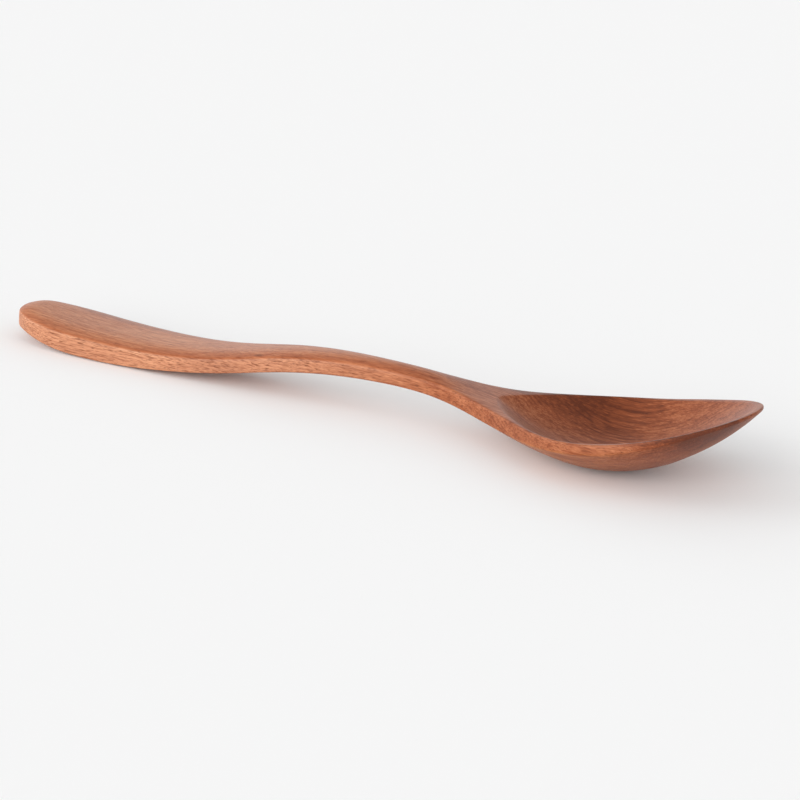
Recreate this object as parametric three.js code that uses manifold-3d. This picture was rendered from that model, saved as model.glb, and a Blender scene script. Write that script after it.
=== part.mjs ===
// Eating spoon carved from one blank of red-brown hardwood.
// Millimetres, +Z up, +X from the handle's end to the bowl's tip.
// The origin lies on the table, under the middle of the spoon.

import * as THREE from 'three';
import { mergeVertices } from 'three/addons/utils/BufferGeometryUtils.js';
import Module from 'manifold-3d';

// Lengths, in order from the handle's end to the bowl's tip.
const END_LENGTH = 20;
const TAPER_LENGTH = 94;
const SHOULDER_LENGTH = 54.5;
const NOSE_LENGTH = 31.5;

// Widths, seen from above.
const HANDLE_WIDTH = 22;
const WAIST_WIDTH = 7.9;
const BOWL_WIDTH = 44.5;
const BLUNT_WIDTH = 1.6;

// Height of the upper edge above the table.
const END_EDGE_HEIGHT = 7.8;
const GRIP_EDGE_HEIGHT = 5.3;
const ARCH_EDGE_HEIGHT = 12.5;
const BOWL_EDGE_HEIGHT = 9.9;
const TIP_EDGE_HEIGHT = 21.1;

// Height of the upright side face, from the upper edge to the lower edge.
const END_SIDE = 3.9;
const GRIP_SIDE = 5.2;
const TAPER_SIDE = 3.9;
const WAIST_SIDE = 3.4;
const SHOULDER_SIDE = 3.8;
const BOWL_SIDE = 2.5;
const TIP_SIDE = 0.9;

// Height of the middle of the underside. Two small flats are sanded where it meets the table.
const END_KEEL_HEIGHT = 3.9;
const ARCH_KEEL_HEIGHT = 7.9;
const FLAT_DEPTH = 0.12;

// Places along the spoon, measured from the widest handle, the waist or the widest bowl.
const GRIP_LOW_AFTER_HANDLE = 16.5;
const HANDLE_REST_AFTER_HANDLE = 10;
const TAPER_SIDE_AFTER_HANDLE = 44;
const ARCH_EDGE_BEFORE_WAIST = 7.5;
const ARCH_KEEL_BEFORE_WAIST = 5;
const BOWL_LOW_BEFORE_BOWL = 18.5;
const BOWL_REST_BEFORE_BOWL = 5.5;

// The gouged hollow.
const HOLLOW_BACK_BEFORE_BOWL = 32.5;
const HOLLOW_WIDEST_BEFORE_BOWL = 3.5;
const RIM_WIDTH = 1.25;
const TIP_RIM_WIDTH = 1.5;
const FLOOR_THICKNESS = 2.7;
const HOLLOW_POWER = 2.1;

// Rounded top of the handle. The higher the power, the flatter the middle and the steeper the edges.
const HANDLE_CROWN = 1.2;
const WAIST_CROWN = 1;
const HANDLE_CROWN_POWER = 5;
const WAIST_CROWN_POWER = 2;
const END_CROWN_LENGTH = 3.5;

// Softened edges. The rim's edge rolls over at the tip. A radius takes at most the stated share of the
// side face, and the belly's slope at the edge is measured over the probe's length.
const HANDLE_EDGE_RADIUS = 0.6;
const RIM_EDGE_RADIUS = 0.4;
const TIP_EDGE_RADIUS = 1.1;
const TIP_ROLL_LENGTH = 15;
const LOWER_EDGE_RADIUS = 0.5;
const UPPER_SHARE_LIMIT = 0.65;
const LOWER_SHARE_LIMIT = 0.32;
const SLOPE_PROBE = 1;

// Fullness of each curve: the share of its stretch over which it keeps its direction.
const END_FULLNESS = { across: 0.68, along: 0.6 };
const TAPER_FULLNESS = { start: 0.39, finish: 0.24 };
const SHOULDER_FULLNESS = { start: 0.52, finish: 0.38 };
const NOSE_FULLNESS = { along: 0.527, across: 0.494 };
const HOLLOW_BACK_FULLNESS = { across: 0.22, along: 0.46 };
const HOLLOW_FRONT_FULLNESS = { along: 0.684, across: 0.42 };
const ARCH_RISE_FULLNESS = { start: 0.42, finish: 0.42 };
const BELLY_FALL_FULLNESS = { start: 0.44, finish: 0.28 };
const BELLY_NOSE_FULLNESS = { start: 0.44, finish: 0.2 };
const TIP_KEEL_SLOPE = 1.3;

// Steps of the faceted surface. The gouge's cut runs a little past the hollow's edge.
const OUTLINE_STEPS = [12, 22, 24, 20];
const TOP_STEPS = 6;
const ROUND_STEPS = 3;
const BELLY_STEPS = 6;
const HOLLOW_OUTLINE_STEPS = [20, 18];
const HOLLOW_RINGS = 9;
const HOLLOW_OVERCUT = 1.08;
const GUIDE_STEPS = 60;

const WOOD_COLOUR = '#a5633d';
const WOOD_ROUGHNESS = 0.42;

// Places along the spoon, from the handle's end.
const handleX = END_LENGTH;
const waistX = handleX + TAPER_LENGTH;
const bowlX = waistX + SHOULDER_LENGTH;
const tipX = bowlX + NOSE_LENGTH;
const hollowBackX = bowlX - HOLLOW_BACK_BEFORE_BOWL;
const hollowWidestX = bowlX - HOLLOW_WIDEST_BEFORE_BOWL;
const bowlRestX = bowlX - BOWL_REST_BEFORE_BOWL;

// A curve from one level place to the next, added to a path.
function levelTo(path, x, z, fullness = { start: 0.5, finish: 0.5 }) {
  const from = path.currentPoint.clone();
  const stretch = x - from.x;
  path.bezierCurveTo(
    from.x + fullness.start * stretch, from.y,
    x - fullness.finish * stretch, z,
    x, z,
  );
  return path;
}

// A line that is level at each of its points.
function levelLine(points) {
  const path = new THREE.Path();
  path.moveTo(...points[0]);
  points.slice(1).forEach(([x, z]) => levelTo(path, x, z));
  return path;
}

// A path read as a height at a distance along the spoon.
function heightReader(path) {
  const points = path.getPoints(GUIDE_STEPS);
  return (x) => {
    const next = points.findIndex((point) => point.x >= x);
    if (next === -1) return points.at(-1).y;
    if (next === 0) return points[0].y;
    const [before, after] = [points[next - 1], points[next]];
    return THREE.MathUtils.mapLinear(x, before.x, after.x, before.y, after.y);
  };
}

// Half of the spoon's outline, seen from above: the end, the taper, the shoulder and the nose.
function outlinePath() {
  const halfHandle = HANDLE_WIDTH / 2;
  const halfBowl = BOWL_WIDTH / 2;
  const path = new THREE.Path();
  path.moveTo(0, BLUNT_WIDTH / 2);
  path.bezierCurveTo(
    0, END_FULLNESS.across * halfHandle,
    handleX - END_FULLNESS.along * END_LENGTH, halfHandle,
    handleX, halfHandle,
  );
  levelTo(path, waistX, WAIST_WIDTH / 2, TAPER_FULLNESS);
  levelTo(path, bowlX, halfBowl, SHOULDER_FULLNESS);
  path.bezierCurveTo(
    bowlX + NOSE_FULLNESS.along * NOSE_LENGTH, halfBowl,
    tipX, NOSE_FULLNESS.across * halfBowl,
    tipX, BLUNT_WIDTH / 2,
  );
  return path;
}

// Half of the hollow's edge, seen from above, inside the rim.
function hollowPath() {
  const halfWidth = BOWL_WIDTH / 2 - RIM_WIDTH;
  const frontX = tipX - TIP_RIM_WIDTH;
  const path = new THREE.Path();
  path.moveTo(hollowBackX, 0);
  path.bezierCurveTo(
    hollowBackX, HOLLOW_BACK_FULLNESS.across * halfWidth,
    hollowWidestX - HOLLOW_BACK_FULLNESS.along * (hollowWidestX - hollowBackX), halfWidth,
    hollowWidestX, halfWidth,
  );
  path.bezierCurveTo(
    hollowWidestX + HOLLOW_FRONT_FULLNESS.along * (frontX - hollowWidestX), halfWidth,
    frontX, HOLLOW_FRONT_FULLNESS.across * halfWidth,
    frontX, 0,
  );
  return path;
}

// The upper edge: it dips under the hand, rises over the arch, dips again and climbs to the tip.
function edgePath() {
  const gripX = handleX + GRIP_LOW_AFTER_HANDLE;
  const bowlLowX = bowlX - BOWL_LOW_BEFORE_BOWL;
  const path = new THREE.Path();
  path.moveTo(0, END_EDGE_HEIGHT);
  path.quadraticCurveTo(gripX / 2, GRIP_EDGE_HEIGHT, gripX, GRIP_EDGE_HEIGHT);
  levelTo(path, waistX - ARCH_EDGE_BEFORE_WAIST, ARCH_EDGE_HEIGHT);
  levelTo(path, bowlLowX, BOWL_EDGE_HEIGHT);
  path.quadraticCurveTo((bowlLowX + tipX) / 2, BOWL_EDGE_HEIGHT, tipX, TIP_EDGE_HEIGHT);
  return path;
}

// The middle of the underside: the handle's rest, the arch, the belly's rest and the climb to the tip.
function keelPath() {
  const handleRestX = handleX + HANDLE_REST_AFTER_HANDLE;
  const climb = tipX - bowlRestX;
  const tipReach = BELLY_NOSE_FULLNESS.finish * climb;
  const tipHeight = TIP_EDGE_HEIGHT - TIP_SIDE;
  const path = new THREE.Path();
  path.moveTo(0, END_KEEL_HEIGHT);
  path.quadraticCurveTo(handleRestX / 2, -FLAT_DEPTH, handleRestX, -FLAT_DEPTH);
  levelTo(path, waistX - ARCH_KEEL_BEFORE_WAIST, ARCH_KEEL_HEIGHT, ARCH_RISE_FULLNESS);
  levelTo(path, bowlRestX, -FLAT_DEPTH, BELLY_FALL_FULLNESS);
  path.bezierCurveTo(
    bowlRestX + BELLY_NOSE_FULLNESS.start * climb, -FLAT_DEPTH,
    tipX - tipReach, tipHeight - TIP_KEEL_SLOPE * tipReach,
    tipX, tipHeight,
  );
  return path;
}

const edgeAt = heightReader(edgePath());
const keelAt = heightReader(keelPath());
const sideAt = heightReader(levelLine([
  [0, END_SIDE],
  [handleX, GRIP_SIDE],
  [handleX + TAPER_SIDE_AFTER_HANDLE, TAPER_SIDE],
  [waistX, WAIST_SIDE],
  [hollowBackX, SHOULDER_SIDE],
  [bowlX, BOWL_SIDE],
  [tipX, TIP_SIDE],
]));
const crownAt = heightReader(levelLine([
  [0, 0],
  [END_CROWN_LENGTH, HANDLE_CROWN],
  [handleX, HANDLE_CROWN],
  [waistX, WAIST_CROWN],
  [hollowBackX, 0],
  [tipX, 0],
]));
const crownPowerAt = heightReader(levelLine([
  [0, HANDLE_CROWN_POWER],
  [handleX, HANDLE_CROWN_POWER],
  [waistX, WAIST_CROWN_POWER],
  [tipX, WAIST_CROWN_POWER],
]));
const edgeRadiusAt = heightReader(levelLine([
  [0, HANDLE_EDGE_RADIUS],
  [waistX, HANDLE_EDGE_RADIUS],
  [hollowBackX, RIM_EDGE_RADIUS],
  [tipX - TIP_ROLL_LENGTH, RIM_EDGE_RADIUS],
  [tipX, TIP_EDGE_RADIUS],
]));

// Half of the width at a distance along the spoon, the lower edge's height and the bare underside.
const halfWidthAt = heightReader(outlinePath());
const cornerAt = (x) => edgeAt(x) - sideAt(x);
function bellyAt(x, y) {
  const keel = Math.min(keelAt(x), cornerAt(x));
  return keel + (cornerAt(x) - keel) * (y / halfWidthAt(x)) ** 2;
}

// Points evenly spaced along each curve of a path, with the direction that faces out.
function stations(path, steps) {
  const found = [];
  path.curves.forEach((curve, index) => {
    const first = index === 0 ? 0 : 1;
    for (let step = first; step <= steps[index]; step++) {
      const share = step / steps[index];
      const tangent = curve.getTangentAt(share);
      found.push({
        place: curve.getPointAt(share),
        outward: new THREE.Vector2(-tangent.y, tangent.x),
      });
    }
  });
  return found;
}

// Half of a cross-section, from the middle of the top, over the edge and down to the keel.
function halfSection({ place, outward }) {
  const side = sideAt(place.x);
  const room = Math.min(side, WAIST_WIDTH);
  const upperRadius = Math.min(edgeRadiusAt(place.x), UPPER_SHARE_LIMIT * room);
  const lowerRadius = Math.min(LOWER_EDGE_RADIUS, LOWER_SHARE_LIMIT * room);
  const inset = (distance) => place.clone().addScaledVector(outward, -distance);
  const points = [];

  const topEdge = inset(upperRadius);
  for (let step = 0; step < TOP_STEPS; step++) {
    const share = step / TOP_STEPS;
    const rise = crownAt(topEdge.x) * (1 - share ** crownPowerAt(topEdge.x));
    points.push(new THREE.Vector3(topEdge.x, share * topEdge.y, edgeAt(topEdge.x) + rise));
  }

  for (let step = 0; step <= ROUND_STEPS; step++) {
    const angle = (Math.PI / 2) * (step / ROUND_STEPS);
    const at = inset(upperRadius * (1 - Math.sin(angle)));
    const drop = upperRadius * (1 - Math.cos(angle));
    points.push(new THREE.Vector3(at.x, at.y, edgeAt(at.x) - drop));
  }

  // The lower edge is rounded only as far as the belly's own slope there.
  const corner = cornerAt(place.x);
  const probe = inset(SLOPE_PROBE);
  const fall = Math.max(corner - bellyAt(probe.x, probe.y), 0);
  const slope = Math.atan2(fall, SLOPE_PROBE);
  const turn = Math.PI / 2 - slope;
  const shoulder = Math.cos(slope) - (1 - Math.sin(slope)) * Math.tan(slope);
  const centre = corner + lowerRadius * shoulder;
  for (let step = 0; step <= ROUND_STEPS; step++) {
    const angle = turn * (step / ROUND_STEPS);
    const at = inset(lowerRadius * (1 - Math.cos(angle)));
    points.push(new THREE.Vector3(at.x, at.y, centre - lowerRadius * Math.sin(angle)));
  }

  const lowEdge = points.at(-1);
  const keel = Math.min(keelAt(lowEdge.x), lowEdge.z);
  for (let step = 1; step <= BELLY_STEPS; step++) {
    const share = 1 - step / BELLY_STEPS;
    const height = keel + (lowEdge.z - keel) * share ** 2;
    points.push(new THREE.Vector3(lowEdge.x, share * lowEdge.y, height));
  }
  return points;
}

// A closed geometry from vertices and triangles.
function solidGeometry(vertices, triangles) {
  const geometry = new THREE.BufferGeometry();
  const positions = vertices.flatMap((vertex) => vertex.toArray());
  geometry.setAttribute('position', new THREE.Float32BufferAttribute(positions, 3));
  geometry.setIndex(triangles);
  return geometry;
}

// The spoon before it is hollowed: half-sections and their mirror images, joined along its length.
function blankGeometry() {
  const halves = stations(outlinePath(), OUTLINE_STEPS).map(halfSection);
  const last = halves[0].length - 1;
  const ringSize = 2 * last;
  const vertices = [];
  halves.forEach((half) => {
    const mirrored = half.slice(1, last).reverse().map(({ x, y, z }) => new THREE.Vector3(x, -y, z));
    vertices.push(...half, ...mirrored);
  });

  const triangles = [];
  const quad = (a, b, c, d) => triangles.push(a, b, c, a, c, d);
  for (let ring = 0; ring < halves.length - 1; ring++) {
    const here = ring * ringSize;
    const there = here + ringSize;
    for (let corner = 0; corner < ringSize; corner++) {
      const next = (corner + 1) % ringSize;
      quad(here + corner, there + corner, there + next, here + next);
    }
  }

  // Each end is closed by strips between the two mirrored halves.
  const end = (halves.length - 1) * ringSize;
  for (let row = 0; row < last; row++) {
    const rowFar = (ringSize - row) % ringSize;
    const nextFar = ringSize - row - 1;
    quad(row, row + 1, nextFar, rowFar);
    quad(end + row, end + rowFar, end + nextFar, end + row + 1);
  }
  return solidGeometry(vertices, triangles);
}

// What the gouge takes out: rings of the hollow's edge drawn in towards the deepest place.
function hollowGeometry() {
  const half = stations(hollowPath(), HOLLOW_OUTLINE_STEPS).map(({ place }) => place);
  const mirrored = half.slice(1, -1).reverse().map(({ x, y }) => new THREE.Vector2(x, -y));
  const outline = [...half, ...mirrored];
  const deepest = new THREE.Vector3(bowlRestX, 0, FLOOR_THICKNESS);
  const vertices = [deepest];
  for (let ring = 1; ring <= HOLLOW_RINGS; ring++) {
    const share = HOLLOW_OVERCUT * (ring / HOLLOW_RINGS);
    outline.forEach(({ x, y }) => {
      const depth = edgeAt(x) - deepest.z;
      vertices.push(new THREE.Vector3(
        THREE.MathUtils.lerp(deepest.x, x, share),
        share * y,
        deepest.z + depth * share ** HOLLOW_POWER,
      ));
    });
  }
  const lid = new THREE.Vector3(deepest.x, 0, 2 * TIP_EDGE_HEIGHT);
  vertices.push(lid);

  const count = outline.length;
  const lidIndex = vertices.length - 1;
  const lastRing = 1 + (HOLLOW_RINGS - 1) * count;
  const triangles = [];
  for (let corner = 0; corner < count; corner++) {
    const next = (corner + 1) % count;
    triangles.push(0, 1 + corner, 1 + next);
    triangles.push(lidIndex, lastRing + next, lastRing + corner);
    for (let ring = 0; ring < HOLLOW_RINGS - 1; ring++) {
      const inner = 1 + ring * count;
      const outer = inner + count;
      triangles.push(inner + corner, outer + corner, outer + next);
      triangles.push(inner + corner, outer + next, inner + next);
    }
  }
  return solidGeometry(vertices, triangles);
}

// The table's side of the sanding plane, under the whole spoon.
function sandingGeometry() {
  const depth = 10 * FLAT_DEPTH;
  const geometry = new THREE.BoxGeometry(2 * tipX, 2 * BOWL_WIDTH, depth);
  geometry.translate(tipX / 2, 0, -depth / 2);
  return geometry;
}

const wasm = await Module();
wasm.setup();

// A geometry as a closed solid that can be cut.
function toSolid(geometry) {
  const bare = geometry.clone();
  bare.deleteAttribute('normal');
  bare.deleteAttribute('uv');
  const merged = mergeVertices(bare, 1e-4);
  return new wasm.Manifold(new wasm.Mesh({
    numProp: 3,
    vertProperties: new Float32Array(merged.attributes.position.array),
    triVerts: new Uint32Array(merged.index.array),
  }));
}

// A cut solid as a geometry again.
function toGeometry(solid) {
  const mesh = solid.getMesh();
  const geometry = new THREE.BufferGeometry();
  geometry.setAttribute('position', new THREE.BufferAttribute(mesh.vertProperties, 3));
  geometry.setIndex(new THREE.BufferAttribute(mesh.triVerts, 1));
  return geometry;
}

function carvedSpoon() {
  const carved = toSolid(blankGeometry())
    .subtract(toSolid(hollowGeometry()))
    .subtract(toSolid(sandingGeometry()));
  const geometry = toGeometry(carved);
  geometry.translate(-tipX / 2, 0, 0);
  geometry.computeVertexNormals();
  const wood = new THREE.MeshStandardMaterial({
    color: WOOD_COLOUR,
    roughness: WOOD_ROUGHNESS,
    metalness: 0,
  });
  const mesh = new THREE.Mesh(geometry, wood);
  mesh.name = 'carved_spoon';
  return mesh;
}

const spoon = new THREE.Group();
spoon.add(carvedSpoon());

export default spoon;
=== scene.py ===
# %% [markdown]
# # A carved wooden spoon
# The real spoon is one piece of red-brown hardwood: a blank is sawn to shape, the bowl is gouged out and
# everything is sanded and oiled. We start from the solid that the frame brings, use it as our ruler, and
# model a finer spoon over it that stands for it in the picture.

import math

import bmesh
import bpy
from mathutils import Matrix, Vector
from mathutils.bvhtree import BVHTree


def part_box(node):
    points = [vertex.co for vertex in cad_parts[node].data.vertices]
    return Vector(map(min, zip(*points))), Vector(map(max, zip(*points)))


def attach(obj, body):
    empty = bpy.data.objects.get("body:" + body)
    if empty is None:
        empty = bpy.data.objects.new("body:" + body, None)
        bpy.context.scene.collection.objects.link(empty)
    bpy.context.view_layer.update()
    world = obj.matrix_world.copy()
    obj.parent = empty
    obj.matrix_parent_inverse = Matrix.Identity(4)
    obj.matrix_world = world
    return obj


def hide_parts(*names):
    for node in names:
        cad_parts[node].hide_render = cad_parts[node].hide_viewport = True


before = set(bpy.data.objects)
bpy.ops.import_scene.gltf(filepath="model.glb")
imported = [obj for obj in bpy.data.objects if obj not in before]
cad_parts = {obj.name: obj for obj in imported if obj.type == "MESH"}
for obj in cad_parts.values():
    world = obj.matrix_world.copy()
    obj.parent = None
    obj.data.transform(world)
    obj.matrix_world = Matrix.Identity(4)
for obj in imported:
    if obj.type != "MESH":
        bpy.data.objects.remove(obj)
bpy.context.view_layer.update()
MM = 0.001

# %% [markdown]
# ## The solid as a ruler
# A modeller would hold the new mesh against the solid all the time. We do the same with straight lines:
# a plumb line gives the height of the top or the underside at a place, and level feelers pushed in from
# outside give the outline. No height then has to be typed in twice.

# %% Plumb lines and feelers
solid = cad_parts["carved_spoon"]
low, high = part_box("carved_spoon")
ruler = BVHTree.FromObject(solid, bpy.context.evaluated_depsgraph_get())
UP = Vector((0, 0, 1))
SIDEWAYS = Vector((0, 1, 0))
# Every line starts this far away, well clear of the spoon.
OUTSIDE = 300 * MM
FEELERS = 160
BOWL_WIDEST = 68.5 * MM


def top_height(place):
    """Height of the solid's top at a place, from a plumb line dropped on it."""
    return ruler.ray_cast(Vector((place.x, place.y, OUTSIDE)), -UP)[0].z


def under_height(place):
    """Height of the solid's underside at a place, from a line sent up at it."""
    return ruler.ray_cast(Vector((place.x, place.y, -OUTSIDE)), UP)[0].z


def outline_point(centre_x, direction):
    """The outline's place in a level direction, from feelers pushed in at many heights."""
    reach = 0
    for feeler in range(FEELERS):
        centre = Vector((centre_x, 0, high.z * (feeler + 0.5) / FEELERS))
        touch = ruler.ray_cast(centre + direction * OUTSIDE, -direction)[0]
        if touch:
            reach = max(reach, (touch - centre).dot(direction))
    return Vector((centre_x, 0, 0)) + direction * reach


def half_width(x):
    """Half of the spoon's width at a place along it."""
    return outline_point(x, SIDEWAYS).y


print("half width of the bowl in mm:", round(half_width(BOWL_WIDEST) / MM, 2))

# %% [markdown]
# ## Drawing the hollow's edge
# The carver draws the edge of the hollow on the blank before gouging. It is an egg with its pointed end
# towards the handle, so four Bezier points with pulled handles are enough. Turned into a mesh, the curve
# gives one ring of edges, and every other part of the spoon grows out of that ring.

# %% The drawn ring
HOLLOW_BACK = 36 * MM
HOLLOW_WIDEST = 65 * MM
RIM_WIDTH = 1.25 * MM
TIP_RIM_WIDTH = 1.5 * MM
# How far the handles are pulled, as shares of the hollow's half width and of its length to that side.
BACK_ACROSS, BACK_ALONG = 0.22, 0.46
FRONT_ALONG, FRONT_ACROSS = 0.684, 0.42
POINTS_PER_QUARTER = 16
RING_POINTS = 4 * POINTS_PER_QUARTER

hollow_front = high.x - TIP_RIM_WIDTH
hollow_half = high.y - RIM_WIDTH
back_pull = HOLLOW_WIDEST - BACK_ALONG * (HOLLOW_WIDEST - HOLLOW_BACK)
front_pull = HOLLOW_WIDEST + FRONT_ALONG * (hollow_front - HOLLOW_WIDEST)


def pull(point, place, before, after):
    """Puts a Bezier point and its two handles on the drawing."""
    point.handle_left_type = "FREE"
    point.handle_right_type = "FREE"
    point.co = (*place, 0)
    point.handle_left = (*before, 0)
    point.handle_right = (*after, 0)


bpy.ops.object.select_all(action="DESELECT")
bpy.ops.curve.primitive_bezier_circle_add(radius=hollow_half)
spoon = bpy.context.object
spoon.name = "oiled_spoon"
back, far, front, near = spoon.data.splines[0].bezier_points
back_bend = BACK_ACROSS * hollow_half
front_bend = FRONT_ACROSS * hollow_half
pull(back, (HOLLOW_BACK, 0), (HOLLOW_BACK, -back_bend), (HOLLOW_BACK, back_bend))
pull(far, (HOLLOW_WIDEST, hollow_half), (back_pull, hollow_half), (front_pull, hollow_half))
pull(front, (hollow_front, 0), (hollow_front, front_bend), (hollow_front, -front_bend))
pull(near, (HOLLOW_WIDEST, -hollow_half), (front_pull, -hollow_half), (back_pull, -hollow_half))
spoon.data.resolution_u = POINTS_PER_QUARTER
bpy.ops.object.convert(target="MESH")
print("points on the hollow's edge:", len(spoon.data.vertices))

# %% [markdown]
# ## The sheet of the top, seen from above
# Everything visible from above is first laid out flat: rings inside the hollow, closed by a grid so that
# no star of triangles sits in the middle, one ring out to the rim, and a strip of faces for the handle.
# Faces that follow the edges of the object bend cleanly later, when they are lifted to their heights.

# %% Rings inside the hollow
DEEPEST = Vector((63 * MM, 0, 0))
RING_SHARES = (0.95, 0.86, 0.73, 0.56)


def choose(wanted):
    """Selects the open mesh's vertices for which wanted(vertex) is true, with their edges and faces."""
    mesh = bmesh.from_edit_mesh(spoon.data)
    for vertex in mesh.verts:
        vertex.select = wanted(vertex)
    mesh.select_mode = {"VERT"}
    mesh.select_flush_mode()
    bmesh.update_edit_mesh(spoon.data)


def extrude(shift=(0, 0, 0)):
    """Extrudes the selected edges or faces."""
    bpy.ops.mesh.extrude_region_move(TRANSFORM_OT_translate={"value": shift})


bpy.ops.object.mode_set(mode="EDIT")
bpy.ops.mesh.select_mode(type="VERT")
bpy.ops.mesh.select_all(action="SELECT")
share_before = 1
for share in RING_SHARES:
    extrude()
    ratio = share / share_before
    bpy.ops.transform.resize(value=(ratio, ratio, 1), center_override=DEEPEST)
    share_before = share
bpy.ops.mesh.fill_grid(span=POINTS_PER_QUARTER)
print("faces in the hollow:", len(bmesh.from_edit_mesh(spoon.data).faces))

# %% [markdown]
# ## The rim and the shoulder
# Around the hollow runs a narrow rim, the cut edge of the bowl's wall. One more ring, pushed out to the
# outline, makes it. Only at the back it stops short: there the bowl runs into the handle, so these points
# lie on a line across the shoulder from which the handle can grow.

# %% Points across and points beside
SHOULDER_HALF_COUNT = 4
# The wider the handle, the more the points of its rows crowd towards the edges.
CROWDING = 0.07 / MM


def share_across(number, width):
    """Where a numbered point lies across the handle, from -1 to 1, nearer to the edges where it is wide."""
    share = abs(number) / SHOULDER_HALF_COUNT
    return math.copysign(1 - (1 - share) ** (1 + CROWDING * width), number)


def neighbour(vertex, wanted):
    """The first vertex joined to this one by an edge for which wanted(other) is true, or None."""
    others = (edge.other_vert(vertex) for edge in vertex.link_edges)
    return next((other for other in others if wanted(other)), None)


print("points across the shoulder:", 2 * SHOULDER_HALF_COUNT + 1)

# %% The rim and the line across the shoulder
SHOULDER_MIDDLE = 30.5 * MM
choose(lambda vertex: vertex.index < RING_POINTS)
extrude()
mesh = bmesh.from_edit_mesh(spoon.data)
mesh.verts.ensure_lookup_table()

# The rim's points are numbered from the back of the hollow: up from 0 on the far side, down on the near.
half_ring = RING_POINTS // 2
rim = {}
for vertex in mesh.verts:
    if vertex.select:
        inner = neighbour(vertex, lambda other: not other.select)
        rim[(inner.index + half_ring) % RING_POINTS - half_ring] = vertex
for number, vertex in rim.items():
    if abs(number) >= SHOULDER_HALF_COUNT:
        vertex.co = outline_point(DEEPEST.x, (vertex.co - DEEPEST).normalized())
corner = rim[SHOULDER_HALF_COUNT].co.copy()
shoulder_bow = corner.x - SHOULDER_MIDDLE
for number in range(1 - SHOULDER_HALF_COUNT, SHOULDER_HALF_COUNT):
    part = share_across(number, 0)
    rim[number].co = (SHOULDER_MIDDLE + shoulder_bow * part**2, corner.y * part, 0)
bmesh.update_edit_mesh(spoon.data)
print("corner of the shoulder in mm:", [round(value / MM, 2) for value in corner])

# %% [markdown]
# ## Growing the handle
# The handle is drawn out of the shoulder, one row of faces at a time, and each row takes its width from
# the solid. The rows start bowed like the shoulder and soon run straight across. Near the round end they
# bow again, so that no face there gets thin and skewed.

# %% The handle, row by row
ROW_LENGTH = 3 * MM
WIDEST_HANDLE = 11 * MM
END_BOW = 2.8 * MM
END_BOW_REACH = 16 * MM
# Each row keeps this share of the bow that the row before it took from the shoulder.
STRAIGHTENING = 0.67


def lay_row(middle_x, bow):
    """Lays the freshly extruded row across the handle: bow is how far its ends lie ahead of its middle."""
    mesh = bmesh.from_edit_mesh(spoon.data)
    row = sorted((vertex for vertex in mesh.verts if vertex.select), key=lambda vertex: vertex.co.y)
    width = half_width(middle_x + bow)
    for number, vertex in enumerate(row):
        part = share_across(number - SHOULDER_HALF_COUNT, min(width, WIDEST_HANDLE))
        vertex.co = (middle_x + bow * part**2, width * part, 0)
    bmesh.update_edit_mesh(spoon.data)


shoulder_row = [rim[number].index for number in range(-SHOULDER_HALF_COUNT, SHOULDER_HALF_COUNT + 1)]
choose(lambda vertex: vertex.index in shoulder_row)
rows = round((SHOULDER_MIDDLE - low.x) / ROW_LENGTH)
step = (SHOULDER_MIDDLE - low.x) / rows
for row in range(1, rows + 1):
    middle_x = SHOULDER_MIDDLE - row * step
    to_end = max(0, 1 - (middle_x - low.x) / END_BOW_REACH)
    extrude((-step, 0, 0))
    lay_row(middle_x, shoulder_bow * STRAIGHTENING**row + END_BOW * to_end**2)

# The last row is the round end itself, so each of its points is felt out one by one.
mesh = bmesh.from_edit_mesh(spoon.data)
end_centre = low.x + END_BOW_REACH
for vertex in mesh.verts:
    if vertex.select:
        vertex.co = outline_point(end_centre, (vertex.co - Vector((end_centre, 0, 0))).normalized())
bmesh.update_edit_mesh(spoon.data)
print("rows in the handle:", rows)

# %% [markdown]
# ## Giving the sheet a thickness
# The flat sheet is extruded downwards once, which makes the underside and the upright side face together.
# The real spoon has this side face too: it is what the saw left of the blank, all the way round. A Solidify
# modifier would give one thickness everywhere, but top and underside here have forms of their own.

# %% Extruding the thickness
DROP = -20 * MM
bpy.ops.mesh.select_all(action="SELECT")
extrude((0, 0, DROP))
print("faces after the extrusion:", len(bmesh.from_edit_mesh(spoon.data).faces))

# %% [markdown]
# ## Lifting the points
# Now every point is lifted to the solid: plumb lines from above for the top, from below for the belly.
# The edge itself is rounded on the solid, so its height is carried outward from two places just inside.
# Along the bowl the rim is too narrow for that, and there it follows a curve that climbs to the tip.

# %% How round the upper edge is
WAIST = 14 * MM
HANDLE_ROUNDING = 0.6 * MM
RIM_ROUNDING = 0.4 * MM
TIP_ROUNDING = 0.4 * MM


def along(points, x):
    """The value at x on a line through the points that runs level at each of them."""
    for (x0, value0), (x1, value1) in zip(points, points[1:]):
        if x <= x1:
            part = max(0, (x - x0) / (x1 - x0))
            return value0 + (value1 - value0) * part * part * (3 - 2 * part)
    return points[-1][1]


def rounding(x):
    """How far the upper edge is rounded at x: soft on the handle, crisp on the rim."""
    return along(
        [
            (WAIST, HANDLE_ROUNDING),
            (HOLLOW_BACK, RIM_ROUNDING),
            (HOLLOW_WIDEST, RIM_ROUNDING),
            (high.x, TIP_ROUNDING),
        ],
        x,
    )


print("rounding of handle and rim in mm:", [round(rounding(x) / MM, 2) for x in (low.x, HOLLOW_WIDEST)])

# %% How high the upper edge lies
RIM_LOW = 50 * MM
RIM_LOW_HEIGHT = 9.9 * MM
TIP_HEIGHT = 21.02 * MM
# Between its lowest place and the tip the rim swells a little above the parabola.
RIM_SWELL = [(68 * MM, 0), (81 * MM, 0.3 * MM), (92 * MM, 0.3 * MM), (100 * MM, 0)]
# The two plumb lines for an edge hang this many roundings inside it.
NEAR_PROBE, FAR_PROBE = 1.05, 1.6
# A face is level where its normal points up or down by more than this.
LEVEL = 0.5


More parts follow.
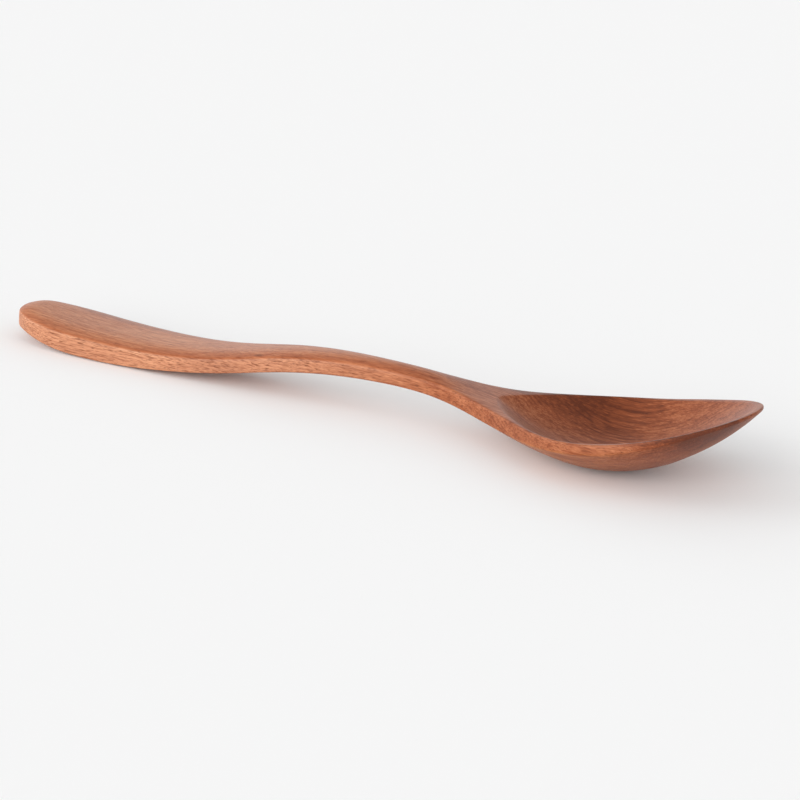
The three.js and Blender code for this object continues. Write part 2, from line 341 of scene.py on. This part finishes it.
def edge_height(vertex):
    """Height of the sharp upper edge: two plumb lines just inside it, carried outward in a straight line.

    From the rim's lowest place on, the rim is too narrow for that, and climbs as a parabola instead.
    """
    if vertex.co.x > RIM_LOW:
        climb = (vertex.co.x - RIM_LOW) / (high.x - RIM_LOW)
        parabola = RIM_LOW_HEIGHT + (TIP_HEIGHT - RIM_LOW_HEIGHT) * climb**2
        return parabola + along(RIM_SWELL, vertex.co.x)
    faces = [face for face in vertex.link_faces if abs(face.normal.z) > LEVEL]
    middle = sum((face.calc_center_median() for face in faces), Vector()) / len(faces)
    inward = (middle - vertex.co).normalized()
    near_step = NEAR_PROBE * rounding(vertex.co.x)
    far_step = FAR_PROBE * rounding(vertex.co.x)
    near_height = top_height(vertex.co + inward * near_step)
    far_height = top_height(vertex.co + inward * far_step)
    return near_height + (near_height - far_height) * near_step / (far_step - near_step)


print("the rim climbs in mm:", round((TIP_HEIGHT - RIM_LOW_HEIGHT) / MM, 2))

# %% Lifting every point
# The height of the side face, at places along the spoon.
SIDE_HEIGHTS = [
    (-100 * MM, 3.9 * MM),
    (-80 * MM, 5.2 * MM),
    (-36 * MM, 3.9 * MM),
    (WAIST, 3.4 * MM),
    (HOLLOW_BACK, 3.8 * MM),
    (BOWL_WIDEST, 2.5 * MM),
    (100 * MM, 0.9 * MM),
]
SHORTEST_UPRIGHT = 1 * MM
mesh = bmesh.from_edit_mesh(spoon.data)
mesh.normal_update()
heights = {}
for vertex in mesh.verts:
    partner = neighbour(vertex, lambda other: abs(other.co.z - vertex.co.z) > SHORTEST_UPRIGHT)
    is_top = vertex.co.z > DROP / 2
    if partner and is_top:
        heights[vertex] = edge_height(vertex)
        heights[partner] = heights[vertex] - along(SIDE_HEIGHTS, vertex.co.x)
    elif not partner:
        heights[vertex] = top_height(vertex.co) if is_top else under_height(vertex.co)
for vertex, height in heights.items():
    vertex.co.z = height
bmesh.update_edit_mesh(spoon.data)
bpy.ops.mesh.select_all(action="SELECT")
bpy.ops.mesh.normals_make_consistent(inside=False)
print("points lifted:", len(heights))

# %% [markdown]
# ## Sanding the edges
# Sandpaper takes the sharpness off every edge, most on the handle and least on the rim, which stays crisp.
# Bevel weights hold that difference: the Bevel modifier multiplies its width by each edge's weight.

# %% Weights on the three edges
LOWER_ROUNDING = [(HOLLOW_WIDEST, 0.5 * MM), (high.x, 0.25 * MM)]
HOLLOW_ROUNDING = 0.3 * MM
# A face belongs to the side where its normal points up or down by less than this.
UPRIGHT = 0.45


def is_side(face):
    """True for a face of the upright side."""
    return abs(face.normal.z) < UPRIGHT


mesh = bmesh.from_edit_mesh(spoon.data)
mesh.normal_update()
weights = mesh.edges.layers.float.new("bevel_weight_edge")
count = 0
for edge in mesh.edges:
    x = (edge.verts[0].co.x + edge.verts[1].co.x) / 2
    sides = [face for face in edge.link_faces if is_side(face)]
    others = [face for face in edge.link_faces if not is_side(face)]
    if sides and others:
        wanted = rounding(x) if others[0].normal.z > 0 else along(LOWER_ROUNDING, x)
        edge[weights] = wanted / HANDLE_ROUNDING
        count += 1
    elif all(vertex.index < RING_POINTS for vertex in edge.verts):
        edge[weights] = HOLLOW_ROUNDING / HANDLE_ROUNDING
        count += 1
bmesh.update_edit_mesh(spoon.data)
bpy.ops.object.mode_set(mode="OBJECT")
print("weighted edges:", count)

# %% [markdown]
# ## One flowing surface
# The Bevel cuts each weighted edge into a narrow strip. The Subdivision Surface then turns the facets into
# one flowing surface, and the strips keep it from melting the edges away. Both are applied, so that the
# finished spoon is a plain mesh.

# %% Bevel and subdivision
BEVEL_SEGMENTS = 2
SUBDIVISIONS = 2
bevel = spoon.modifiers.new("sanded edges", "BEVEL")
bevel.width = HANDLE_ROUNDING
bevel.segments = BEVEL_SEGMENTS
bevel.limit_method = "WEIGHT"
# Clamping would shrink every bevel on the spoon to what its tightest place allows.
bevel.use_clamp_overlap = False
bpy.ops.object.modifier_apply(modifier=bevel.name)
smooth = spoon.modifiers.new("flowing surface", "SUBSURF")
smooth.levels = SUBDIVISIONS
smooth.render_levels = SUBDIVISIONS
bpy.ops.object.modifier_apply(modifier=smooth.name)
bpy.ops.object.shade_smooth()
print("faces of the finished spoon:", len(spoon.data.polygons))

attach(spoon, "root")
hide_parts("carved_spoon")

# %% [markdown]
# ## Where the photographer stood
# The camera looks at the spoon from the side and a little from above, through a long lens, so that near
# and far parts keep almost the same scale. It is tilted by a few degrees, which makes the spoon run
# downhill through the picture, and the lens is shifted to bring the spoon to its place.

# %% Camera
CAMERA_TARGET = Vector((0, 0, 10 * MM))
CAMERA_DISTANCE = 600 * MM
CAMERA_TURN = math.radians(27)
CAMERA_RISE = math.radians(17)
CAMERA_ROLL = math.radians(4.04)
LENS = 111.27
SHIFT_SIDEWAYS, SHIFT_UP = 0.0447, -0.0388
right = Vector((math.cos(CAMERA_TURN), math.sin(CAMERA_TURN), 0))
towards = Vector((math.sin(CAMERA_TURN), -math.cos(CAMERA_TURN), 0))
backward = towards * math.cos(CAMERA_RISE) + UP * math.sin(CAMERA_RISE)
upward = UP * math.cos(CAMERA_RISE) - towards * math.sin(CAMERA_RISE)
rolled_right = right * math.cos(CAMERA_ROLL) + upward * math.sin(CAMERA_ROLL)
rolled_up = upward * math.cos(CAMERA_ROLL) - right * math.sin(CAMERA_ROLL)

bpy.ops.object.camera_add()
camera = bpy.context.object
camera.matrix_world = Matrix.Translation(CAMERA_TARGET + backward * CAMERA_DISTANCE) @ Matrix(
    (rolled_right, rolled_up, backward)
).transposed().to_4x4()
camera.data.lens = LENS
camera.data.shift_x = SHIFT_SIDEWAYS
camera.data.shift_y = SHIFT_UP
bpy.context.scene.camera = camera
print("camera in mm:", [round(value / MM) for value in camera.matrix_world.translation])

# %% [markdown]
# ## Helpers for finishes
# Colours are easiest to note as they look on a screen, so one function turns a screen colour into the
# linear numbers that light is reckoned with. A second one adds a node and wires it in one go, because
# a finish is hard to follow where every link takes a line of its own.

# %% Colours and nodes
def linear(colour):
    """Turns a screen colour like "#a5633d" into linear red, green, blue and full opacity, as sRGB says."""
    shares = [int(colour[place : place + 2], 16) / 255 for place in (1, 3, 5)]
    return (*[part / 12.92 if part <= 0.04045 else ((part + 0.055) / 1.055) ** 2.4 for part in shares], 1)


def add(tree, kind, inputs=None, **settings):
    """Adds a node with its settings and links.

    Each input is a plain value, another node's output, or another node, whose first output is taken.
    """
    node = tree.nodes.new("ShaderNode" + kind)
    for name, value in settings.items():
        setattr(node, name, value)
    for name, value in (inputs or {}).items():
        source = value.outputs[0] if isinstance(value, bpy.types.Node) else value
        if isinstance(source, bpy.types.NodeSocket):
            tree.links.new(source, node.inputs[name])
        else:
            node.inputs[name].default_value = source
    return node


print("a middle brown in linear numbers:", [round(part, 3) for part in linear("#a5633d")])

# %% [markdown]
# ## The wood
# Wood is a solid pattern: growth layers run through the blank, and wherever the gouge or the saw cuts them
# they show as lines or arcs. A picture glued on would stretch in the hollow and smear on the sides. So
# every pattern below is fixed in the space of the spoon and stretched along the grain, and the hollow cuts
# its own figure out of it.

# %% Jujube heartwood, sanded and oiled
# Sanding leaves the open pores as fine dark dashes. Oil deepens the red-brown and leaves a silky sheen
# that greys the tops, without a clear reflection.
wood = bpy.data.materials.new("jujube_heartwood_sanded_and_oiled")
wood.use_nodes = True
tree = wood.node_tree
tree.nodes.clear()
surface = add(tree, "TexCoord")
place = surface.outputs["Object"]
x_place, y_place, z_place = add(tree, "SeparateXYZ", {"Vector": place}).outputs
# The slope is 1 on a level top, 0 on an upright side and -1 on a level underside.
_, _, slope = add(tree, "SeparateXYZ", {"Vector": surface.outputs["Normal"]}).outputs
print("wood:", wood.name)

# %% Spaces stretched along the grain
GRAIN_TILT = math.radians(-1.5)
GRAIN_TURN = math.radians(2.5)
UNMOVED = (0, 0, 0)
# Each pattern's length and width in millimetres, and a shift to a place of its own, in those units.
# Real fibres are about 0.02 mm wide and vessels about 0.1 mm. Both are drawn coarser, because the picture
# would lose them.
GRAIN_SIZES = {
    "layers": (40, 0.9, (0, 36, -34)),
    "patches": (14, 3, (5, 3, 1)),
    "fibres": (4, 0.3, UNMOVED),
    "streaks": (40, 1.3, UNMOVED),
    "clouds": (50, 9, UNMOVED),
    "dashes": (3, 0.24, (3, 7, 2)),
    "flecks": (2.5, 0.35, (9, 1, 4)),
    "bands": (25, 1.7, (4, 2, 8)),
    "fibre lines": (8, 0.3, (1, 8, 6)),
    "vessels": (1.6, 0.26, UNMOVED),
}
spaces = {}
for pattern, (length, width, shift) in GRAIN_SIZES.items():
    spaces[pattern] = add(
        tree,
        "Mapping",
        {
            "Vector": place,
            "Location": shift,
            "Rotation": (0, GRAIN_TILT, GRAIN_TURN),
            "Scale": (1 / (length * MM), 1 / (width * MM), 1 / (width * MM)),
        },
    )
print("spaces along the grain:", len(spaces))

# %% [markdown]
# ## Growth layers, fibres and pores
# Three sizes of pattern make wood look like wood. Growth layers are a millimetre or so thick, and bend
# round the middle of the trunk. Fibres and streaks run along the grain. The vessels that carried the sap
# are cut open lengthwise and show as short dark dashes. Rings, noise and cells are the three textures that
# come nearest to them.

# %% Noise drawn out along the grain
NOISE_ROUGHNESS = 0.6
NOISE_DETAIL = {
    "patches": 2.0,
    "fibres": 3.0,
    "streaks": 2.0,
    "clouds": 2.0,
    "dashes": 1.0,
    "flecks": 1.0,
    "bands": 1.0,
    "fibre lines": 2.0,
}
noises = {}
for pattern, detail in NOISE_DETAIL.items():
    inputs = {"Vector": spaces[pattern], "Scale": 1.0, "Detail": detail, "Roughness": NOISE_ROUGHNESS}
    noises[pattern] = add(tree, "TexNoise", inputs).outputs["Fac"]
fibres = noises["fibres"]
print("noises:", list(noises))

# %% Growth layers
# The middle of the trunk lay about 45 mm away, above the spoon and on our side, so the layers run slantwise
# through the spoon and show on the top and on the side face. A wave texture makes 20 / (2 pi) waves in each
# unit, so this scale gives one layer in each.
ONE_WAVE = 2 * math.pi / 20
layers = add(
    tree,
    "TexWave",
    {
        "Vector": spaces["layers"],
        "Scale": ONE_WAVE,
        "Distortion": 14.0,
        "Detail": 3.0,
        "Detail Scale": 0.4,
        "Detail Roughness": 0.65,
    },
    wave_type="RINGS",
    rings_direction="X",
    wave_profile="SIN",
)
dark_lines = add(tree, "MapRange", {"Value": layers.outputs["Fac"], "From Min": 0.35})
patches = add(
    tree, "MapRange", {"Value": noises["patches"], "From Min": 0.4, "From Max": 0.62, "To Min": 0.1}
)
late_wood = add(tree, "Math", {0: dark_lines, 1: patches}, operation="MULTIPLY")
print("thickness of a layer in mm:", GRAIN_SIZES["layers"][1])

# %% Flecks, dashes and pores
flecks = add(tree, "MapRange", {"Value": noises["flecks"], "From Min": 0.58, "From Max": 0.72})
dashes = add(tree, "MapRange", {"Value": noises["dashes"], "From Min": 0.56, "From Max": 0.66})
vessels = add(tree, "TexVoronoi", {"Vector": spaces["vessels"], "Scale": 1.0}, feature="F1")
vessel_size = add(tree, "SeparateColor", {"Color": vessels.outputs["Color"]}).outputs["Red"]
pore_size = add(
    tree, "MapRange", {"Value": vessel_size, "From Min": 0.35, "To Min": 0.1, "To Max": 0.45}
)
pores = add(
    tree,
    "MapRange",
    {
        "Value": vessels.outputs["Distance"],
        "From Min": 0.05,
        "From Max": pore_size,
        "To Min": 1.0,
        "To Max": 0.0,
    },
)
print("nodes for the figure:", len(tree.nodes))

# %% [markdown]
# ## Colour
# Jujube runs from pale orange to a dark red-brown. The colour darkens towards the bowl, and painted shade
# darkens the bowl's far wall and the near side of its nose, which turn away from the lamps. All patterns
# are added up to one tone, and a ramp turns the tone into a colour. Mixing a colour for each pattern would
# soon leave the colours of one wood.

# %% Darker towards the bowl, and painted shade on the far wall and the nose
dark_bowl = add(
    tree, "MapRange", {"Value": x_place, "From Min": -50 * MM, "From Max": 50 * MM, "To Max": 0.24}
)
# Painted shade: the far side is darkened more the farther out it lies, most in the hollow's far wall, which
# is turned away from the lamps. It fades towards the tip.
far_wall = add(tree, "MapRange", {"Value": y_place, "From Max": 18 * MM, "To Max": 0.34})
far_fade = add(
    tree,
    "MapRange",
    {"Value": x_place, "From Min": 50 * MM, "From Max": 72 * MM, "To Min": 1.0, "To Max": 0.35},
)
far_wall_painted_shade = add(tree, "Math", {0: far_wall, 1: far_fade}, operation="MULTIPLY")
# Painted shade: the upper near side of the nose, which faces away from the lamps, is darkened.
nose_rise = add(
    tree, "MapRange", {"Value": z_place, "From Min": 9 * MM, "From Max": 16 * MM, "To Max": 0.34}
)
nose_near = add(tree, "MapRange", {"Value": y_place, "From Min": -2 * MM, "From Max": -9 * MM})
nose_along = add(tree, "MapRange", {"Value": x_place, "From Min": 72 * MM, "From Max": 88 * MM})
nose_side = add(tree, "Math", {0: nose_near, 1: nose_along}, operation="MULTIPLY")
nose_painted_shade = add(tree, "Math", {0: nose_rise, 1: nose_side}, operation="MULTIPLY")
print("nodes with the darker places:", len(tree.nodes))

# %% From tone to colour
tone = 0.0
for pattern, weight in [
    (late_wood, 0.14),
    (fibres, 0.55),
    (noises["streaks"], 0.45),
    (noises["clouds"], 0.35),
    (dark_bowl, 1.0),
    (far_wall_painted_shade, 1.0),
    (nose_painted_shade, 1.0),
    (flecks, -0.12),
]:
    tone = add(tree, "Math", {0: pattern, 1: weight, 2: tone}, operation="MULTIPLY_ADD")
tone_share = add(tree, "MapRange", {"Value": tone, "From Min": 0.45, "From Max": 1.25})
body = add(tree, "ValToRGB", {"Fac": tone_share})
stops = body.color_ramp.elements
stops[0].color = linear("#cb8c64")
stops[1].color = linear("#57250d")
stops.new(0.35).color = linear("#b06c47")
stops.new(0.7).color = linear("#864424")
print("colours on the ramp:", len(stops))

# %% [markdown]
# ## Painted light and shade on the faces
# The same wood shows different colours on its faces. The handle's side face is mixed paler as painted light
# on the side that faces the low lamps, and its rounded upper edge is multiplied darker as painted shade,
# where it turns away from the sheen of the top. The belly is cut almost along the layers. Masks could be
# painted for these places, but the slope of the surface and the place along the spoon already tell them
# apart, and they fade into each other without a seam.

# %% Painted light on the handle's side face
# A Mix node has sockets for every kind of data. Inputs 0, 6 and 7 are the share and the two colours, and
# output 2 is the mixed colour.
# Painted light: the upright faces of the handle are mixed towards a pale colour, so they look lit more than
# the lamps light them.
SIDE_PAINTED_LIGHT = 0.24
lean = add(tree, "Math", {0: slope}, operation="ABSOLUTE")
upright = add(
    tree, "MapRange", {"Value": lean, "From Min": 0.35, "From Max": 0.55, "To Min": 1.0, "To Max": 0.0}
)
on_handle = add(
    tree,
    "MapRange",
    {"Value": x_place, "From Min": -20 * MM, "From Max": 20 * MM, "To Min": 1.0, "To Max": 0.0},
)
handle_side = add(tree, "Math", {0: upright, 1: on_handle}, operation="MULTIPLY")
side_light_share = add(tree, "Math", {0: handle_side, 1: SIDE_PAINTED_LIGHT}, operation="MULTIPLY")
pale = add(tree, "Mix", {0: side_light_share, 6: body, 7: linear("#cfa285")}, data_type="RGBA").outputs[2]
print("share of pale wood on the handle's side:", SIDE_PAINTED_LIGHT)

# %% Painted shade on the handle's rounded edge
# Painted shade: the rounded upper edge, tilted towards us, misses the grey sheen and light of the top, so
# its colour is multiplied darker.
off_top = add(tree, "MapRange", {"Value": slope, "From Min": 0.985, "From Max": 0.94})
off_side = add(tree, "MapRange", {"Value": slope, "From Min": 0.55, "From Max": 0.75})
bent = add(tree, "Math", {0: off_top, 1: off_side}, operation="MULTIPLY")
to_shoulder = add(
    tree,
    "MapRange",
    {"Value": x_place, "From Min": 10 * MM, "From Max": 28 * MM, "To Min": 1.0, "To Max": 0.0},
)
edge_shade_share = add(tree, "Math", {0: bent, 1: to_shoulder}, operation="MULTIPLY")
shaded = {0: edge_shade_share, 6: pale, 7: linear("#f0e3dd")}
edge_shaded = add(tree, "Mix", shaded, data_type="RGBA", blend_type="MULTIPLY").outputs[2]
print("nodes with the rubbed edge:", len(tree.nodes))

# %% Orange bands under the bowl
# The cut runs almost along the layers here, through broad soft bands of orange wood.
faces_down = add(tree, "MapRange", {"Value": slope, "From Min": -0.05, "From Max": -0.4})
past_neck = add(tree, "MapRange", {"Value": x_place, "From Min": 15 * MM, "From Max": 40 * MM})
before_nose = add(
    tree,
    "MapRange",
    {"Value": x_place, "From Min": 56 * MM, "From Max": 80 * MM, "To Min": 1.0, "To Max": 0.0},
)
bowl_length = add(tree, "Math", {0: past_neck, 1: before_nose}, operation="MULTIPLY")
under_bowl = add(tree, "Math", {0: faces_down, 1: bowl_length}, operation="MULTIPLY")
bands = add(
    tree,
    "MapRange",
    {"Value": noises["bands"], "From Min": 0.4, "From Max": 0.6, "To Min": 0.65, "To Max": 0.0},
)
band_share = add(tree, "Math", {0: under_bowl, 1: bands}, operation="MULTIPLY")
banded = add(tree, "Mix", {0: band_share, 6: edge_shaded, 7: linear("#c07a45")}, data_type="RGBA").outputs[2]
print("nodes with the bands:", len(tree.nodes))

# %% Fine dark marks
# The side face and the belly are sanded less finely than the top, so the cut fibres and pores stand out.
FINE_SLOPE, COARSE_SLOPE = 0.75, 0.45
fibre_lines = add(tree, "MapRange", {"Value": noises["fibre lines"], "From Min": 0.52, "From Max": 0.66})
marked = banded
for marks, share_on_top, share_below, dark in [
    (fibre_lines, 0.0, 0.5, "#7e3f1f"),
    (dashes, 0.45, 0.7, "#6a3115"),
    (pores, 0.5, 0.7, "#46200f"),
]:
    depth = add(
        tree,
        "MapRange",
        {
            "Value": slope,
            "From Min": FINE_SLOPE,
            "From Max": COARSE_SLOPE,
            "To Min": share_on_top,
            "To Max": share_below,
        },
    )
    mark_share = add(tree, "Math", {0: marks, 1: depth}, operation="MULTIPLY")
    marked = add(tree, "Mix", {0: mark_share, 6: marked, 7: linear(dark)}, data_type="RGBA").outputs[2]
print("nodes with the marks:", len(tree.nodes))

# %% A pin knot
# A twig once grew out of the wood here and left a pin knot on the handle's upper edge, frayed by fibres.
KNOT = Vector((-26.5, -6.2, 9.7)) * MM
KNOT_SIZE = Vector((2.4, 1.2, 0.7)) * MM
FRAYING = 0.8
from_knot = add(tree, "VectorMath", {0: place, 1: KNOT}, operation="SUBTRACT")
knot_space = add(tree, "VectorMath", {0: from_knot, 1: KNOT_SIZE}, operation="DIVIDE")
reach = add(tree, "VectorMath", {0: knot_space}, operation="LENGTH").outputs["Value"]
frayed = add(tree, "Math", {0: fibres, 1: FRAYING, 2: reach}, operation="MULTIPLY_ADD")
knot = add(
    tree, "MapRange", {"Value": frayed, "From Min": 0.5, "From Max": 1.2, "To Min": 0.7, "To Max": 0.0}
)
colour = add(tree, "Mix", {0: knot, 6: marked, 7: linear("#4d2310")}, data_type="RGBA").outputs[2]
print("knot at, in mm:", [round(value / MM, 1) for value in KNOT])

# %% [markdown]
# ## The oiled finish
# Oil soaks in and leaves hardly any film, so the reflection is weaker than that of varnish and blurred.
# Open pores are grooves a hundredth of a millimetre deep, and the fibres between them stand up a little.
# Grooves that fine would take millions of faces, so a bump tilts the light on them instead.

# %% Sheen and touch
GROOVE_DEPTH = 0.012 * MM
FIBRE_HEIGHT = 0.35
OILED_WOOD_IOR = 1.36
raised = add(tree, "Math", {0: fibres, 1: FIBRE_HEIGHT}, operation="MULTIPLY")
touch_height = add(tree, "Math", {0: raised, 1: pores}, operation="SUBTRACT")
bump = add(tree, "Bump", {"Height": touch_height, "Strength": 1.0, "Distance": GROOVE_DEPTH})
roughness = add(
    tree, "MapRange", {"Value": fibres, "From Min": 0.2, "From Max": 0.8, "To Min": 0.38, "To Max": 0.5}
)
oiled = add(
    tree,
    "BsdfPrincipled",
    {"Base Color": colour, "Roughness": roughness, "IOR": OILED_WOOD_IOR, "Normal": bump},
)
add(tree, "OutputMaterial", {"Surface": oiled})
spoon.data.materials.append(wood)
print("nodes of the finished wood:", len(tree.nodes))

# %% [markdown]
# ## A white table in a bright room
# The spoon lies on white paper. White walls send light in level from all round, a little more from the
# left, where the window is, and less comes from above. So the shadow stays soft and pale, and the paper
# throws light back up under the belly.

# %% Table
TABLE_METRES = 20
bpy.ops.mesh.primitive_plane_add(size=TABLE_METRES)
floor = bpy.context.object
floor.name = "white_table"
# Paper is matt all over and slightly less than white.
paper = bpy.data.materials.new("white_paper")
paper.use_nodes = True
paper.node_tree.nodes.clear()
matt = add(paper.node_tree, "BsdfDiffuse", {"Color": linear("#f7f7f7")})
add(paper.node_tree, "OutputMaterial", {"Surface": matt})
floor.data.materials.append(paper)
print("table:", floor.name, "under", paper.name)

# %% Room
HORIZON, ZENITH = 1.46, 0.4
DARK_SIDE, LIT_SIDE = 0.8, 1.2
WINDOW_FORWARD, WINDOW_LEFT = 0.6, 0.8
world = bpy.data.worlds.new("room")
bpy.context.scene.world = world
world.use_nodes = True
room = world.node_tree
direction = add(room, "TexCoord").outputs["Generated"]
_, _, rise_share = add(room, "SeparateXYZ", {"Vector": direction}).outputs
window = (WINDOW_FORWARD * towards - WINDOW_LEFT * right).normalized()
facing = add(room, "VectorMath", {0: direction, 1: window}, operation="DOT_PRODUCT").outputs["Value"]
by_height = add(room, "MapRange", {"Value": rise_share, "To Min": HORIZON, "To Max": ZENITH})
by_side = add(
    room, "MapRange", {"Value": facing, "From Min": -1.0, "To Min": DARK_SIDE, "To Max": LIT_SIDE}
)
brightness = add(room, "Math", {0: by_height, 1: by_side}, operation="MULTIPLY")
background = room.nodes["Background"]
room.links.new(brightness.outputs[0], background.inputs["Strength"])
background.inputs["Color"].default_value = linear("#ffffff")
print("light from the walls:", HORIZON, "and from above:", ZENITH)

# %% [markdown]
# ## Soft lamps
# The side face towards us is as bright as the top, so lamps stand low on our side. A weak one behind
# gives the tops their grey sheen. Each is as wide in the sky as a large softbox close by.

# %% Lamps
LAMP_WIDTH = math.radians(45)
LAMP_RISE = math.radians(15)
FRONT_LAMP_LEFT = 0.6


def soft_lamp(name, direction, strength):
    """A wide, low lamp in a level direction. Strength 1 lights a white card facing it to full white."""
    bpy.ops.object.light_add(type="SUN")
    lamp = bpy.context.object
    lamp.name = name
    lamp.data.energy = strength * math.pi
    lamp.data.angle = LAMP_WIDTH
    to_lamp = direction.normalized() * math.cos(LAMP_RISE) + UP * math.sin(LAMP_RISE)
    lamp.matrix_world = to_lamp.to_track_quat("Z", "Y").to_matrix().to_4x4()
    print(name, "strength", strength)


soft_lamp("softbox_left", -right, strength=0.3)
soft_lamp("softbox_front", towards - FRONT_LAMP_LEFT * right, strength=0.55)
soft_lamp("white_backdrop", -towards, strength=0.06)
# Standard shows colours as they are written.
bpy.context.scene.view_settings.view_transform = "Standard"
